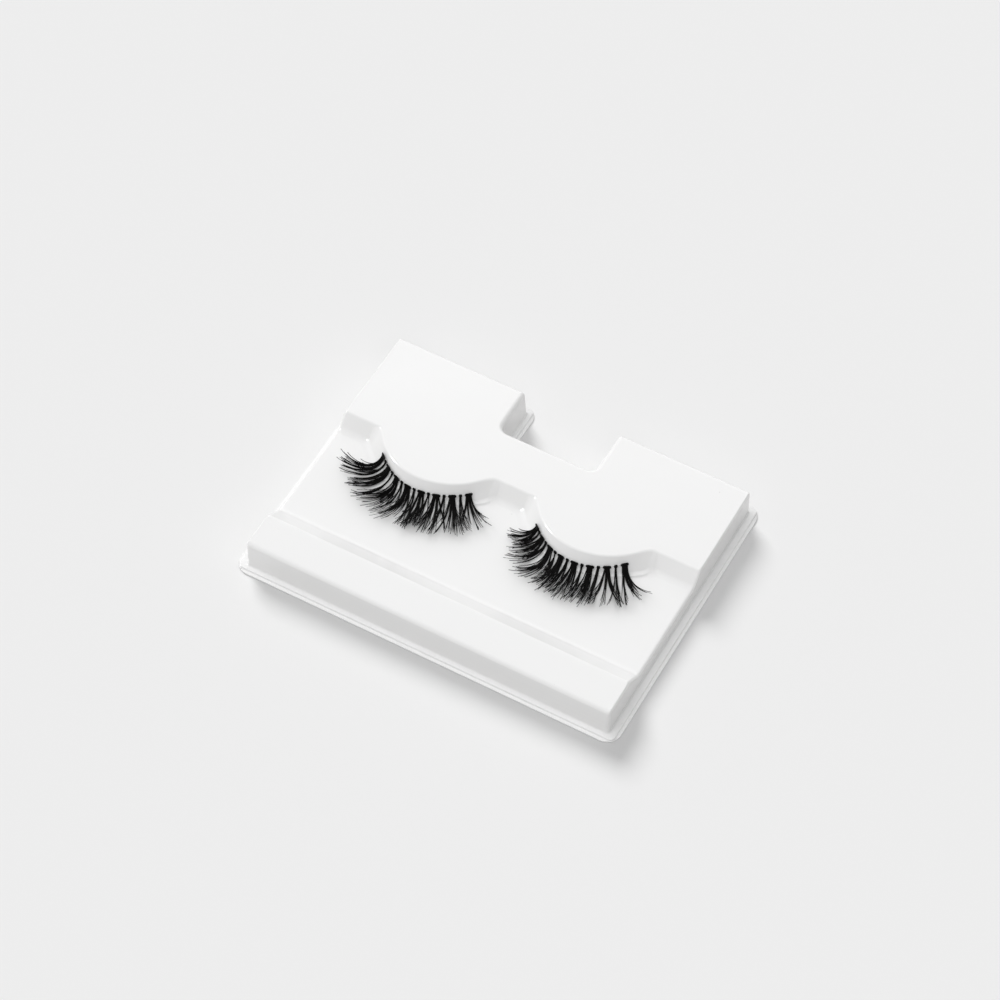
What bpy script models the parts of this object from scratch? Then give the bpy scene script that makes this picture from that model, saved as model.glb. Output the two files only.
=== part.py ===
# A pair of false eyelash strips on their tray. The tray is one formed sheet of white
# plastic, hollow below: a raised rear block with a notch in its back edge and two lobes
# at its front, a sunken floor, a raised front bar, and a ledge and a flange round the
# foot. Each strip is a thin band with fifteen lash clusters, laid along a lobe's wall.
import math

import bmesh
import bpy
import numpy as np

for old in list(bpy.data.objects):
    bpy.data.objects.remove(old, do_unlink=True)

mm = 0.001

# Tray, outside
tray_width = 110.2 * mm         # wall to wall at the foot
tray_depth = 83.7 * mm
tray_height = 10.66 * mm
sheet = 0.5 * mm                # thickness of the formed plastic
side_draft = 0.011              # lean of the side and front walls
back_draft = 0.06
notch_draft = 0.075
wall_corner = 0.9 * mm
top_round = 0.8 * mm
ledge_height = 1.1 * mm
ledge_side = 2.0 * mm
ledge_end = 1.4 * mm
ledge_corner = 1.2 * mm
flange_side = 0.95 * mm
flange_end = 0.95 * mm
flange_corner = 4.2 * mm

# Notch in the back edge
notch_width = 29.7 * mm         # at the top
notch_depth = 15.3 * mm         # at the top
notch_corner = 2.6 * mm

# Floor, lobes and bar
floor_height = 6.42 * mm
pocket_line = 10.6 * mm         # front edge of the rear block, from the tray's middle
lobe_line = 0.55 * mm           # foremost point of the lobes
lobe_low = 24.25 * mm           # foremost points, each side of lobe_shift
lobe_shift = -2.65 * mm
lobe_radius_left = 17.6 * mm
lobe_radius_right = 21.6 * mm
lobe_fillet = 3.0 * mm
wall_lean = 0.84                # run for each unit of fall of a lobe's wall
pocket_lean = 0.84              # the same for the walls of the pockets between the lobes
shelf_height = 0.55 * mm        # small step round a lobe's foot
shelf_width = 0.95 * mm
shelf_run = 0.3 * mm
bar_line = -30.6 * mm           # back edge of the bar's top
ramp_run = 5.7 * mm
edge_round = 0.7 * mm
side_round = 0.8 * mm

# Lash strips
band_drop = 2.6 * mm            # below the top of the lobe, at the middle of the strip
band_lift = 0.95 * mm           # rise of the band's ends
band_radius = 0.28 * mm
band_gap = 0.3 * mm
band_before = 12.4 * mm         # reach along x each side of the lobe's foremost point
band_after = 15.2 * mm
cluster_count = 15
crowding = 0.14                 # how much closer the clusters stand towards -x
thick_root = 2.1 * mm
thin_root = 1.0 * mm
lash_thickness = 0.5 * mm
lash_length = 14.0 * mm
lash_clearance = 0.3 * mm       # of the lowest point above the floor
lash_curl = 2.3 * mm            # rise of the tips above the lowest point

# Share along the strip, length as a share of lash_length, lean from square to the band
# and turn of the tip, both in degrees and towards +x.
lash_table = [
    {"along": 0.0, "length": 0.76, "lean": 4, "turn": -16},
    {"along": 0.25, "length": 0.88, "lean": -8, "turn": -12},
    {"along": 0.5, "length": 0.97, "lean": -14, "turn": -4},
    {"along": 0.75, "length": 1.0, "lean": -10, "turn": 2},
    {"along": 1.0, "length": 0.9, "lean": 6, "turn": 12},
]
# Share of the length, width of a thick and of a thin cluster as shares of their roots.
width_table = [
    {"at": 0.0, "thick": 1.0, "thin": 1.0},
    {"at": 0.12, "thick": 0.86, "thin": 0.7},
    {"at": 0.45, "thick": 0.95, "thin": 0.85},
    {"at": 0.75, "thick": 1.2, "thin": 1.0},
    {"at": 1.0, "thick": 0.55, "thin": 0.35},
]


def material(name, colour, roughness, metallic=0.0):
    mat = bpy.data.materials.new(name)
    mat.use_nodes = True
    shader = mat.node_tree.nodes["Principled BSDF"]
    shader.inputs["Base Color"].default_value = (*colour, 1.0)
    shader.inputs["Roughness"].default_value = roughness
    shader.inputs["Metallic"].default_value = metallic
    return mat


def make_object(name, verts, faces, mat=None):
    mesh = bpy.data.meshes.new(name)
    mesh.from_pydata([tuple(v) for v in verts], [], faces)
    mesh.validate()
    bm = bmesh.new()
    bm.from_mesh(mesh)
    bmesh.ops.recalc_face_normals(bm, faces=bm.faces)
    bm.to_mesh(mesh)
    bm.free()
    obj = bpy.data.objects.new(name, mesh)
    bpy.context.scene.collection.objects.link(obj)
    if mat:
        mesh.materials.append(mat)
    return obj


def boolean(obj, cutter, operation="DIFFERENCE"):
    mod = obj.modifiers.new(operation.lower(), "BOOLEAN")
    mod.operation = operation
    mod.solver = "EXACT"
    mod.object = cutter
    cutter.hide_render = True
    cutter.display_type = "WIRE"
    cutter.hide_set(True)


def rounded(corners, segments=4):
    """corners: (x, y, radius) in order; returns the outline with rounded corners."""
    out = []
    count = len(corners)
    for i in range(count):
        p = np.array(corners[i][:2])
        before = np.array(corners[i - 1][:2]) - p
        after = np.array(corners[(i + 1) % count][:2]) - p
        r = corners[i][2]
        before = before / np.linalg.norm(before)
        after = after / np.linalg.norm(after)
        start = p + before * r
        end = p + after * r
        centre = start + after * r
        a0 = math.atan2(*(start - centre)[::-1])
        a1 = math.atan2(*(end - centre)[::-1])
        turn = (a1 - a0 + math.pi) % (2 * math.pi) - math.pi
        for k in range(segments + 1):
            a = a0 + turn * k / segments
            out.append((centre[0] + r * math.cos(a), centre[1] + r * math.sin(a)))
    return out


def footprint(row):
    """Outline of the tray at one height: walls moved outwards by side, end, back, notch."""
    x = tray_width / 2 + row["side"]
    front = tray_depth / 2 + row["end"]
    back = tray_depth / 2 + row["back"]
    notch_x = notch_width / 2 - row["notch"]
    top_back = tray_depth / 2 - back_draft * (tray_height - ledge_height)
    notch_y = top_back - notch_depth + row["notch"]
    outer = max(row["corner"], 0.2 * mm)
    lip = outer if row["corner"] < notch_depth / 4 else notch_depth / 4
    inner = max(notch_corner - row["notch"], 0.3 * mm)
    return rounded([
        (-x, -front, outer), (x, -front, outer), (x, back, outer), (notch_x, back, lip),
        (notch_x, notch_y, inner), (-notch_x, notch_y, inner), (-notch_x, back, lip),
        (-x, back, outer),
    ])


def wall_row(z, inset=0.0):
    """Row of the walls at a height, leaning in with it, moved in by inset."""
    rise = z - ledge_height
    return {
        "z": z,
        "side": -side_draft * rise - inset,
        "end": -side_draft * rise - inset,
        "back": -back_draft * rise - inset,
        "notch": notch_draft * (tray_height - z) - inset,
        "corner": max(wall_corner - inset, 0.2 * mm),
    }


def rim_row(z, side, end, corner):
    """Row of the ledge or the flange, which runs round the foot of the walls."""
    foot = notch_draft * (tray_height - ledge_height)
    return {"z": z, "side": side, "end": end, "back": end, "notch": foot + end, "corner": corner}


def stack(name, rows, mat=None):
    """Closed body through the tray's outlines at rising heights."""
    rings = [[(x, y, row["z"]) for x, y in footprint(row)] for row in rows]
    n = len(rings[0])
    verts = [v for ring in rings for v in ring]
    faces = [list(range(n))[::-1]]
    for k in range(len(rings) - 1):
        for i in range(n):
            j = (i + 1) % n
            faces.append([k * n + i, k * n + j, (k + 1) * n + j, (k + 1) * n + i])
    faces.append([(len(rings) - 1) * n + i for i in range(n)])
    return make_object(name, verts, faces, mat)


def smooth_min(a, b, k):
    h = max(k - abs(a - b), 0.0) / k
    return min(a, b) - h * h * k / 4


def lobe(x, low):
    d = x - low
    radius = lobe_radius_left if d < 0 else lobe_radius_right
    reach = 0.985 * radius
    if abs(d) > reach:
        return lobe_line + radius - math.sqrt(radius**2 - reach**2) + (abs(d) - reach) * 6
    return lobe_line + radius - math.sqrt(radius**2 - d**2)


lobe_centres = (lobe_shift - lobe_low, lobe_shift + lobe_low)


def block_front(x):
    y = pocket_line
    for low in lobe_centres:
        y = smooth_min(y, lobe(x, low), lobe_fillet)
    return y


def lobe_share(x):
    """1 on a lobe's wall, 0 on the walls of the pockets beside it."""
    depth = (pocket_line - block_front(x)) / mm
    return min(max((depth - 0.8) / 1.6, 0.0), 1.0)


def wall_profile(x, thicken):
    """(outward run, height) of the block's front wall, from its top down to the floor.

    thicken moves the wall in and down by one sheet, for the hollow behind it."""
    fall = tray_height - floor_height
    share = lobe_share(x)
    shelf = shelf_height * share
    lean = pocket_lean + (wall_lean - pocket_lean) * share
    knee = lean * (fall - shelf)
    r = edge_round
    start = -r * 0.55
    points = [
        (start - 0.25 * mm, tray_height + 0.03 * mm),
        (start, tray_height - 0.03 * mm),
        (lean * r * 0.45, tray_height - r * 0.45),
        (knee - lean * 0.25 * mm, floor_height + shelf + 0.25 * mm),
        (knee + 0.3 * mm, floor_height + shelf),
        (knee + 0.3 * mm + shelf_width * share, floor_height + shelf - 0.02 * mm * share),
        (knee + 0.35 * mm + (shelf_width + shelf_run) * share, floor_height + 0.08 * mm * share),
        (knee + 0.6 * mm + (shelf_width + shelf_run) * share, floor_height),
    ]
    return [(o - thicken * 0.75, z - thicken) for o, z in points]


def spread(height_run, x_table, y_table, z_table, offsets):
    """Front line of the block moved outwards by offsets, and the height that goes with it."""
    ys = []
    zs = []
    for x in height_run:
        dx = x_table - x
        reach = np.abs(offsets)
        ok = np.abs(dx) <= reach + 1e-9
        side = np.sqrt(np.maximum(reach**2 - dx**2, 0.0))
        if np.any(offsets < 0):
            value = np.where(ok, y_table + side, -1.0)
            best = int(np.argmax(value))
        else:
            value = np.where(ok, y_table - side, 1.0)
            best = int(np.argmin(value))
        ys.append(float(value[best]))
        zs.append(float(z_table[best]))
    return ys, zs


def column_places(half):
    """Places along x: close together where a lobe's side runs steeply, wide elsewhere."""
    xs = [-half]
    while xs[-1] < half:
        x = xs[-1]
        slope = abs(block_front(x + 0.5 * mm) - block_front(x - 0.5 * mm)) / mm
        xs.append(x + 2.1 * mm / (1 + 1.1 * slope))
    xs[-1] = half
    return xs


def valley(name, thicken):
    """The space over the floor, from the block's front wall to the bar's ramp."""
    half = tray_width / 2 - side_draft * (floor_height - ledge_height)
    flat = half - side_round
    inner = column_places(flat - thicken)
    turn = [0.3, 0.6, 0.85]
    side = []
    for share in turn:
        a = share * math.pi / 2
        side.append((flat - thicken + side_round * math.sin(a), side_round * (1 - math.cos(a))))
    end = side[-1]
    side.append((end[0] + 0.4 * mm, end[1] + 0.4 * mm / math.tan(0.15 * math.pi / 2)))
    columns = [(-x, drop) for x, drop in side[::-1]]
    columns += [(x, 0.0) for x in inner]
    columns += side

    fine = np.arange(-70 * mm, 70 * mm, 0.1 * mm)
    y_table = np.array([block_front(x) for x in fine])
    profiles = np.array([wall_profile(x, thicken) for x in fine])
    xs = [x for x, _ in columns]
    rows = []
    for k in range(profiles.shape[1]):
        ys, zs = spread(xs, fine, y_table, profiles[:, k, 1], profiles[:, k, 0])
        rows.append((ys, zs))
    fall = tray_height - floor_height
    lean = ramp_run / fall
    foot = bar_line + ramp_run
    r = edge_round
    ramp = [
        (foot + r * 0.6, floor_height),
        (foot - lean * r * 0.35, floor_height + r * 0.35),
        (bar_line + lean * r * 0.35, tray_height - r * 0.35),
        (bar_line - r * 0.6, tray_height - 0.03 * mm),
        (bar_line - r * 0.6 - 0.25 * mm, tray_height + 0.03 * mm),
    ]
    for y, z in ramp:
        rows.append(([y - thicken * 0.5] * len(xs), [z - thicken] * len(xs)))
    top = tray_height + 3 * mm
    n = len(xs)
    verts = []
    for ys, zs in rows:
        for i in range(n):
            verts.append((xs[i], ys[i], zs[i] - columns[i][1]))
    faces = []
    m = len(rows)
    for k in range(m - 1):
        for i in range(n - 1):
            a = k * n + i
            faces.append([a, a + n, a + n + 1, a + 1])
    ring = [i for i in range(n)]
    ring += [k * n + n - 1 for k in range(1, m)]
    ring += [(m - 1) * n + i for i in range(n - 2, -1, -1)]
    ring += [k * n for k in range(m - 2, 0, -1)]
    base = len(verts)
    for i in ring:
        verts.append((verts[i][0], verts[i][1], top))
    count = len(ring)
    for i in range(count):
        j = (i + 1) % count
        faces.append([ring[i], ring[j], base + j, base + i])
    faces.append([base + i for i in range(count)][::-1])
    obj = make_object(name, verts, faces)
    bm = bmesh.new()
    bm.from_mesh(obj.data)
    bmesh.ops.triangulate(bm, faces=bm.faces)
    bm.to_mesh(obj.data)
    bm.free()
    return obj


def tray():
    white = material("white_plastic", (0.88, 0.88, 0.88), 0.32)
    side = ledge_side + flange_side
    end = ledge_end + flange_end
    rows = [
        rim_row(0.0, side, end, flange_corner),
        rim_row(sheet, side, end, flange_corner),
        rim_row(sheet, ledge_side, ledge_end, ledge_corner),
        rim_row(ledge_height, ledge_side, ledge_end, ledge_corner),
        wall_row(ledge_height),
    ]
    r = top_round
    for k in range(4):
        a = k / 3 * math.pi / 2
        row = wall_row(tray_height - r, r * (1 - math.cos(a)))
        row["z"] += r * math.sin(a)
        rows.append(row)
    body = stack("tray", rows, white)
    inside = [
        rim_row(-2 * mm, ledge_side - sheet, ledge_end - sheet, ledge_corner - sheet),
        rim_row(ledge_height - sheet, ledge_side - sheet, ledge_end - sheet, ledge_corner - sheet),
        wall_row(ledge_height - sheet, sheet),
    ]
    r = top_round - sheet / 2
    for k in range(3):
        a = k / 2 * math.pi / 2
        row = wall_row(tray_height - sheet - r, sheet + r * (1 - math.cos(a)))
        row["z"] += r * math.sin(a)
        inside.append(row)
    hollow = stack("tray_hollow", inside)
    boolean(hollow, valley("valley_back", sheet))
    boolean(body, valley("valley", 0.0))
    boolean(body, hollow)
    body.data.shade_smooth()
    body.data.set_sharp_from_angle(angle=math.radians(40))
    return body


def sample(table, key, place, column):
    for a, b in zip(table, table[1:]):
        if place <= b[key]:
            share = (place - a[key]) / (b[key] - a[key])
            share = share * share * (3 - 2 * share)
            return a[column] + (b[column] - a[column]) * share
    return table[-1][column]


def band_height(x, low):
    share = (x - low + band_before) / (band_before + band_after) * 2 - 1
    return tray_height - band_drop + band_lift * share * share


def band_path(low):
    """Points along the band at the wall's gap from it."""
    fine = np.arange(low - 22 * mm, low + 24 * mm, 0.05 * mm)
    y_table = np.array([block_front(x) for x in fine])
    clear = (band_gap + band_radius) * math.sqrt(1 + wall_lean**2)
    points = []
    for x in np.linspace(low - band_before, low + band_after, 160):
        z = band_height(x, low)
        run = wall_lean * (tray_height - z) + clear
        ys, _ = spread([x], fine, y_table, y_table, np.full(len(fine), run))
        points.append((x, ys[0], z))
    points = np.array(points)
    steps = np.linalg.norm(np.diff(points[:, :2], axis=0), axis=1)
    return points, np.concatenate([[0], np.cumsum(steps)])


def along_band(points, length, share):
    """Place on the band at a share of its length, and its heading there."""
    at = share * length[-1]
    step = 0.02 * length[-1]
    place = [float(np.interp(at, length, points[:, i])) for i in range(3)]
    before = [float(np.interp(at - step, length, points[:, i])) for i in range(2)]
    after = [float(np.interp(at + step, length, points[:, i])) for i in range(2)]
    return place, math.atan2(after[1] - before[1], after[0] - before[0])


def tube(name, centres, sections, mat):
    """Closed body through sections: each is (across, up) half sizes with its heading."""
    sides = 6
    verts = []
    faces = []
    for (x, y, z), (heading, half_width, half_height) in zip(centres, sections):
        cx = -math.sin(heading)
        cy = math.cos(heading)
        for k in range(sides):
            a = 2 * math.pi * (k + 0.5) / sides
            across = half_width * math.cos(a)
            up = half_height * math.sin(a)
            verts.append((x + cx * across, y + cy * across, z + up))
    n = len(centres)
    faces.append(list(range(sides)))
    for k in range(n - 1):
        for i in range(sides):
            j = (i + 1) % sides
            faces.append([k * sides + i, k * sides + j, (k + 1) * sides + j, (k + 1) * sides + i])
    faces.append([(n - 1) * sides + i for i in range(sides)][::-1])
    return make_object(name, verts, faces, mat)


def lash_strip(name, low, mat):
    points, length = band_path(low)
    centres = []
    sections = []
    steps = 28
    for k in range(steps + 1):
        (x, y, z), tangent = along_band(points, length, k / steps)
        centres.append((x, y, z))
        sections.append((tangent, band_radius, band_radius))
    band = tube(name, centres, sections, mat)
    end = 0.5 * thick_root / length[-1]
    lowest = floor_height + lash_clearance + lash_thickness / 2
    clusters = bpy.data.collections.new(name + "_clusters")
    bpy.context.scene.collection.children.link(clusters)
    for c in range(cluster_count):
        share = c / (cluster_count - 1)
        share -= crowding * share * (1 - share)
        (x, y, height), tangent = along_band(points, length, end + share * (1 - 2 * end))
        kind = "thin" if c % 2 else "thick"
        root = thin_root if c % 2 else thick_root
        reach = lash_length * sample(lash_table, "along", share, "length")
        if c % 2:
            reach *= 0.93
        lean = math.radians(sample(lash_table, "along", share, "lean"))
        turn = math.radians(sample(lash_table, "along", share, "turn"))
        heading = tangent - math.pi / 2 + lean
        steps = 8
        centres = []
        sections = []
        for k in range(steps + 1):
            t = k / steps
            now = heading + turn * (t - 0.35)
            sink = (height - lowest) * (1 - math.exp(-3.6 * t)) / (1 - math.exp(-3.6))
            rise = lash_curl * max(t - 0.3, 0.0) ** 1.7 / 0.7 ** 1.7
            centres.append((x, y, height - sink + rise))
            wide = root * sample(width_table, "at", t, kind)
            sections.append((now, wide / 2, lash_thickness / 2 * (1 - 0.5 * t)))
            x += math.cos(now) * reach / steps
            y += math.sin(now) * reach / steps
        cluster = tube(name + "_cluster_" + str(c), centres, sections, mat)
        bpy.context.scene.collection.objects.unlink(cluster)
        clusters.objects.link(cluster)
        cluster.hide_render = True
        cluster.display_type = "WIRE"
    mod = band.modifiers.new("clusters", "BOOLEAN")
    mod.operation = "UNION"
    mod.operand_type = "COLLECTION"
    mod.collection = clusters
    mod.solver = "EXACT"
    band.data.shade_smooth()
    band.data.set_sharp_from_angle(angle=math.radians(50))
    return band


tray()
black = material("black_fibre", (0.012, 0.011, 0.011), 0.45)
lash_strip("lash_strip_left", lobe_centres[0], black)
lash_strip("lash_strip_right", lobe_centres[1], black)
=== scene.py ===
import math

import bmesh
import bpy
import numpy as np
from mathutils import Matrix, Vector


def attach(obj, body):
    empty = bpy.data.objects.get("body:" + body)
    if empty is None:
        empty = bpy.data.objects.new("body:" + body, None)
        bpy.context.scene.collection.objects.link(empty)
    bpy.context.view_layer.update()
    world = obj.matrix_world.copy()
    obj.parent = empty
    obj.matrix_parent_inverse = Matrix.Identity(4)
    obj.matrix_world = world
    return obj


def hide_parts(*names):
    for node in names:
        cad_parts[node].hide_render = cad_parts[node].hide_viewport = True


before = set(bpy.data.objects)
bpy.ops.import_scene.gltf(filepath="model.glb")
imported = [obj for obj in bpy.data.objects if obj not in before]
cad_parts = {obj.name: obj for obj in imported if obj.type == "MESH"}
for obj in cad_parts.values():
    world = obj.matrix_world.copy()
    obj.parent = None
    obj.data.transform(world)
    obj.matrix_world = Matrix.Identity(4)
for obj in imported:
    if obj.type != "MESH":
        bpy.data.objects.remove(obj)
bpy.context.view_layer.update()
mm = 0.001
print("frame loaded:", len(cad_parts), "nodes")


# Small helpers

def meshPiece(name, verts, faces):
    mesh = bpy.data.meshes.new(name)
    mesh.from_pydata([tuple(float(c) for c in v) for v in verts], [], faces)
    mesh.validate()
    bm = bmesh.new()
    bm.from_mesh(mesh)
    bmesh.ops.recalc_face_normals(bm, faces=bm.faces)
    bm.to_mesh(mesh)
    bm.free()
    piece = bpy.data.objects.new(name, mesh)
    bpy.context.scene.collection.objects.link(piece)
    return piece


def bake(piece):
    # turns the modified piece into a plain mesh and drops its modifiers
    graph = bpy.context.evaluated_depsgraph_get()
    mesh = bpy.data.meshes.new_from_object(piece.evaluated_get(graph), depsgraph=graph)
    piece.modifiers.clear()
    old = piece.data
    piece.data = mesh
    mesh.name = piece.name
    if old.users == 0:
        bpy.data.meshes.remove(old)
    return piece


def cutAway(piece, cutter):
    cut = piece.modifiers.new("cut", "BOOLEAN")
    cut.operation = "DIFFERENCE"
    cut.solver = "EXACT"
    cut.object = cutter
    bake(piece)
    bpy.data.objects.remove(cutter, do_unlink=True)


def outwards(turn, height):
    # the direction that lies turn degrees round from the front, by the right side, and height up
    turn = math.radians(turn)
    up = math.radians(height)
    return Vector((math.sin(turn) * math.cos(up), -math.cos(turn) * math.cos(up), math.sin(up)))


def place(tree, kind, x=0, y=0, **settings):
    # x and y are columns and rows of the node editor
    node = tree.nodes.new(kind)
    node.location = (x * 190, y * 170)
    for key, value in settings.items():
        setattr(node, key, value)
    return node


def wire(tree, start, end):
    tree.links.new(start, end)


def calc(tree, operation, a, b=None, x=0, y=0, clamp=False):
    # one math node; a and b are sockets or numbers
    node = place(tree, "ShaderNodeMath", x, y, operation=operation, use_clamp=clamp)
    for socket, value in ((node.inputs[0], a), (node.inputs[1], b)):
        if value is None:
            continue
        if isinstance(value, (int, float)):
            socket.default_value = value
        else:
            wire(tree, value, socket)
    return node.outputs[0]


# Shader node groups

def newGroup(name, inputs, outputs):
    # every input is a number with its default value
    group = bpy.data.node_groups.new(name, "ShaderNodeTree")
    for label, value in inputs:
        socket = group.interface.new_socket(label, in_out="INPUT", socket_type="NodeSocketFloat")
        socket.default_value = value
    for label, kind in outputs:
        group.interface.new_socket(label, in_out="OUTPUT", socket_type=kind)
    source = place(group, "NodeGroupInput", -6)
    target = place(group, "NodeGroupOutput", 8)
    return group, source, target


speckForm = {"cloudDetail": 3.0, "grainScale": 1400.0, "grainDetail": 2.0, "grainShare": 0.25}


def makeSpeckGroup():
    # tiny specks, soft mottling and a fine grain, for the plastic and the band
    group, source, target = newGroup(
        "specks and mottling",
        [("Speck Spacing", 260.0), ("Speck Size", 0.05), ("Speck Share", 0.3), ("Mottling Scale", 55.0)],
        [("Speck", "NodeSocketFloat"), ("Mottling", "NodeSocketFloat"), ("Height", "NodeSocketFloat")],
    )
    coords = place(group, "ShaderNodeTexCoord", -6, -2)
    cells = place(group, "ShaderNodeTexVoronoi", -3, 1, feature="F1")
    wire(group, coords.outputs["Object"], cells.inputs["Vector"])
    wire(group, source.outputs["Speck Spacing"], cells.inputs["Scale"])
    near = calc(group, "LESS_THAN", cells.outputs["Distance"], source.outputs["Speck Size"], -1, 2)
    tint = place(group, "ShaderNodeSeparateColor", -1, 1)
    wire(group, cells.outputs["Color"], tint.inputs[0])
    chosen = calc(group, "LESS_THAN", tint.outputs[0], source.outputs["Speck Share"], 1, 1)
    speck = calc(group, "MULTIPLY", near, chosen, 3, 1)
    clouds = place(group, "ShaderNodeTexNoise", -3, -1)
    clouds.inputs["Detail"].default_value = speckForm["cloudDetail"]
    wire(group, coords.outputs["Object"], clouds.inputs["Vector"])
    wire(group, source.outputs["Mottling Scale"], clouds.inputs["Scale"])
    grain = place(group, "ShaderNodeTexNoise", -3, -3)
    grain.inputs["Scale"].default_value = speckForm["grainScale"]
    grain.inputs["Detail"].default_value = speckForm["grainDetail"]
    wire(group, coords.outputs["Object"], grain.inputs["Vector"])
    fine = calc(group, "MULTIPLY", grain.outputs["Fac"], speckForm["grainShare"], -1, -3)
    height = calc(group, "ADD", speck, fine, 3, -2)
    wire(group, speck, target.inputs["Speck"])
    wire(group, clouds.outputs["Fac"], target.inputs["Mottling"])
    wire(group, height, target.inputs["Height"])
    return group


def makeDrawLineGroup():
    # faint level lines that forming leaves on upright walls, and how upright a place is
    group, source, target = newGroup(
        "draw lines", [("Line Scale", 1500.0), ("Along Scale", 14.0)],
        [("Lines", "NodeSocketFloat"), ("Upright", "NodeSocketFloat")],
    )
    coords = place(group, "ShaderNodeTexCoord", -6, -2)
    split = place(group, "ShaderNodeSeparateXYZ", -4, -2)
    wire(group, coords.outputs["Object"], split.inputs[0])
    joined = place(group, "ShaderNodeCombineXYZ", -1, -1)
    for k in range(2):
        wire(group, calc(group, "MULTIPLY", split.outputs[k], source.outputs["Along Scale"], -2, k),
             joined.inputs[k])
    wire(group, calc(group, "MULTIPLY", split.outputs[2], source.outputs["Line Scale"], -2, -2),
         joined.inputs[2])
    streaks = place(group, "ShaderNodeTexNoise", 1, 0)
    streaks.inputs["Scale"].default_value = 1.0
    streaks.inputs["Detail"].default_value = speckForm["cloudDetail"]
    wire(group, joined.outputs[0], streaks.inputs["Vector"])
    normal = place(group, "ShaderNodeSeparateXYZ", -1, -3)
    wire(group, coords.outputs["Normal"], normal.inputs[0])
    flat = calc(group, "ABSOLUTE", normal.outputs[2], None, 1, -3)
    upright = calc(group, "SUBTRACT", 1.0, flat, 3, -3, clamp=True)
    wire(group, streaks.outputs["Fac"], target.inputs["Lines"])
    wire(group, upright, target.inputs["Upright"])
    return group


speckGroup = makeSpeckGroup()
drawLineGroup = makeDrawLineGroup()
print("shader groups made")


# Materials

def useGroup(tree, group, x, y, values=None):
    # values gives the group's inputs by their labels
    node = place(tree, "ShaderNodeGroup", x, y)
    node.node_tree = group
    for label, value in (values or {}).items():
        node.inputs[label].default_value = value
    return node


def between(tree, factor, low, high, x, y):
    node = place(tree, "ShaderNodeMapRange", x, y)
    node.inputs["To Min"].default_value = low
    node.inputs["To Max"].default_value = high
    wire(tree, factor, node.inputs["Value"])
    return node.outputs["Result"]


def blendColour(tree, factor, first, second, x, y):
    # first and second are sockets or colours
    node = place(tree, "ShaderNodeMix", x, y, data_type="RGBA")
    for socket, value in ((node.inputs[6], first), (node.inputs[7], second)):
        if isinstance(value, tuple):
            socket.default_value = (*value, 1.0)
        else:
            wire(tree, value, socket)
    wire(tree, factor, node.inputs[0])
    return node.outputs[2]


def addBump(tree, shader, height, form, x, y):
    bump = place(tree, "ShaderNodeBump", x, y)
    bump.inputs["Strength"].default_value = form["bump"]
    bump.inputs["Distance"].default_value = form["bumpDepth"]
    wire(tree, height, bump.inputs["Height"])
    wire(tree, bump.outputs["Normal"], shader.inputs["Normal"])


trayFinish = {
    "white": (0.868, 0.868, 0.868),
    "cloud": (0.846, 0.845, 0.842),
    "speckTint": (0.70, 0.695, 0.69),
    "wallTint": (0.83, 0.825, 0.818),
    "roughLow": 0.11,
    "roughHigh": 0.17,
    "bump": 0.1,
    "bumpDepth": 0.05 * mm,
    "ior": 1.5,
    "specks": {"Speck Spacing": 210.0, "Speck Size": 0.035, "Speck Share": 0.22, "Mottling Scale": 48.0},
}


def makeTrayMaterial():
    mat = bpy.data.materials.new("glossy white sheet")
    mat.use_nodes = True
    tree = mat.node_tree
    shader = tree.nodes["Principled BSDF"]
    specks = useGroup(tree, speckGroup, -6, 2, trayFinish["specks"])
    lines = useGroup(tree, drawLineGroup, -6, -1)
    base = blendColour(tree, specks.outputs["Mottling"], trayFinish["white"], trayFinish["cloud"], -4, 2)
    lineAmount = calc(tree, "MULTIPLY", lines.outputs["Lines"], lines.outputs["Upright"], -4, -1)
    walls = blendColour(tree, lineAmount, base, trayFinish["wallTint"], -3, 1)
    colour = blendColour(tree, specks.outputs["Speck"], walls, trayFinish["speckTint"], -2, 2)
    wire(tree, colour, shader.inputs["Base Color"])
    rough = between(tree, specks.outputs["Mottling"], trayFinish["roughLow"], trayFinish["roughHigh"],
                    -2, 0)
    wire(tree, rough, shader.inputs["Roughness"])
    height = calc(tree, "ADD", specks.outputs["Height"], lineAmount, -3, -2)
    addBump(tree, shader, height, trayFinish, -2, -2)
    shader.inputs["IOR"].default_value = trayFinish["ior"]
    return mat


fibreFinish = {
    "black": (0.0015, 0.0014, 0.0014),
    "grey": (0.008, 0.0075, 0.0072),
    "roughLow": 0.4,
    "roughHigh": 0.65,
    "shine": 0.1,
    "grainScale": 900.0,
    "grainDetail": 2.0,
    "bump": 0.3,
    "bumpDepth": 0.02 * mm,
}


def makeFibreMaterial():
    mat = bpy.data.materials.new("black lash fibre")
    mat.use_nodes = True
    tree = mat.node_tree
    shader = tree.nodes["Principled BSDF"]
    coords = place(tree, "ShaderNodeTexCoord", -6, 0)
    grain = place(tree, "ShaderNodeTexNoise", -5, 0)
    grain.inputs["Scale"].default_value = fibreFinish["grainScale"]
    grain.inputs["Detail"].default_value = fibreFinish["grainDetail"]
    wire(tree, coords.outputs["Object"], grain.inputs["Vector"])
    colour = blendColour(tree, grain.outputs["Fac"], fibreFinish["black"], fibreFinish["grey"], -3, 1)
    wire(tree, colour, shader.inputs["Base Color"])
    rough = between(tree, grain.outputs["Fac"], fibreFinish["roughLow"], fibreFinish["roughHigh"], -3, -1)
    wire(tree, rough, shader.inputs["Roughness"])
    shader.inputs["Specular IOR Level"].default_value = fibreFinish["shine"]
    addBump(tree, shader, grain.outputs["Fac"], fibreFinish, -3, -2)
    return mat


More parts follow.
